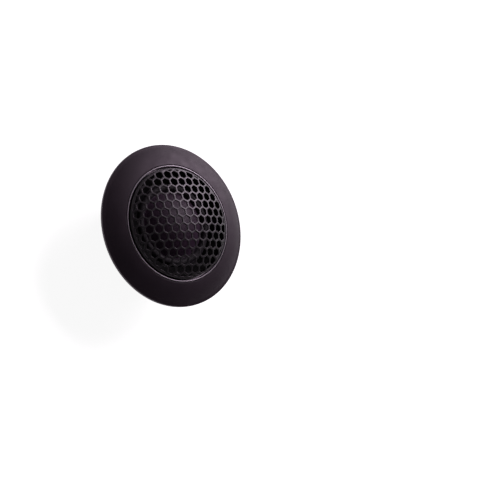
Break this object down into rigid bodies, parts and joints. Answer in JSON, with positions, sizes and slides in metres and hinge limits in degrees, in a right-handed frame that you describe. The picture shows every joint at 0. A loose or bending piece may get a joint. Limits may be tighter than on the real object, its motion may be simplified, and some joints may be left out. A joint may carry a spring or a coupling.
{
  "type": "car tweeter",
  "caption": "Round flush-mount car tweeter: convex flange, trim ring, domed hexagonal mesh over a soft dome, threaded collar with lock nut, rear blade terminals.",
  "frame": {"origin": "centre of the flange's rear face, on the tweeter's axis, in the plane that seats on the panel", "axes": "+Z along the axis out of the front; X along the rows of holes in the mesh, with the positive blade on +X"},
  "size_m": [0.05, 0.05, 0.0251],
  "materials": {
    "bezel_plastic": "soft-touch matte, slightly purple black",
    "ring_metal": "satin, dark",
    "mesh_steel": "satin powder coat",
    "foam": "closed-cell foam",
    "washer_steel": "zinc plated",
    "nut_plastic": "moulded, lightly textured",
    "pod_plastic": "moulded",
    "faceplate_plastic": "moulded, fine texture",
    "dome_fabric": "coated woven silk",
    "surround_fabric": "coated woven cloth",
    "inner_plastic": "moulded",
    "former_aluminium": "thin foil",
    "coil_wire": "enamelled winding wire",
    "felt": "felt",
    "motor_steel": "black zinc",
    "magnet_nickel": "nickel plated",
    "terminal_brass": "tin-washed brass",
    "screw_steel": "black zinc",
    "capacitor_film": "shrink sleeve",
    "lead_copper": "tinned copper",
    "board_laminate": "phenolic laminate"
  },
  "bodies": {
    "tweeter_body": {"bezel": "bezel_plastic", "trim_ring": "ring_metal", "grille_mesh": "mesh_steel", "panel_gasket": "foam", "pod_housing": "pod_plastic", "faceplate": "faceplate_plastic", "faceplate_screws": "screw_steel", "surround": "surround_fabric", "diaphragm_ring": "inner_plastic", "coil_leads": "lead_copper", "damping_pad": "felt", "pole_plate": "motor_steel", "magnet": "magnet_nickel", "yoke_pot": "motor_steel", "positive_strip": "terminal_brass", "negative_strip": "terminal_brass", "capacitor": "capacitor_film", "capacitor_leads": "lead_copper", "rear_cap": "pod_plastic", "chamber_foam": "foam", "terminal_board": "board_laminate", "positive_blade": "terminal_brass", "negative_blade": "terminal_brass", "blade_rivets": "terminal_brass"},
    "moving_coil": {"dome": "dome_fabric", "coil_former": "former_aluminium", "voice_coil": "coil_wire"},
    "washer": {"clamp_washer": "washer_steel"},
    "nut": {"lock_nut": "nut_plastic"}
  },
  "joints": [
    {"name": "dome_travel", "type": "slide", "parent": "tweeter_body", "child": "moving_coil", "axis": [0, 0, 1], "range_m": [-0.0003, 0.0003], "stiffness_N_per_m": 200, "deforming": ["surround", "coil_leads"]},
    {"name": "nut_travel", "type": "slide", "parent": "tweeter_body", "child": "washer", "axis": [0, 0, -1], "range_m": [0, 0.01701]},
    {"name": "nut_turn", "type": "hinge", "parent": "washer", "child": "nut", "pos_m": [0, 0, 0], "axis": [0, 0, -1], "range_deg": [0, 3060]}
  ],
  "couplings": [
    {"joint": "nut_travel", "follows": "nut_turn", "m_per_rad": 0.00031831}
  ]
}
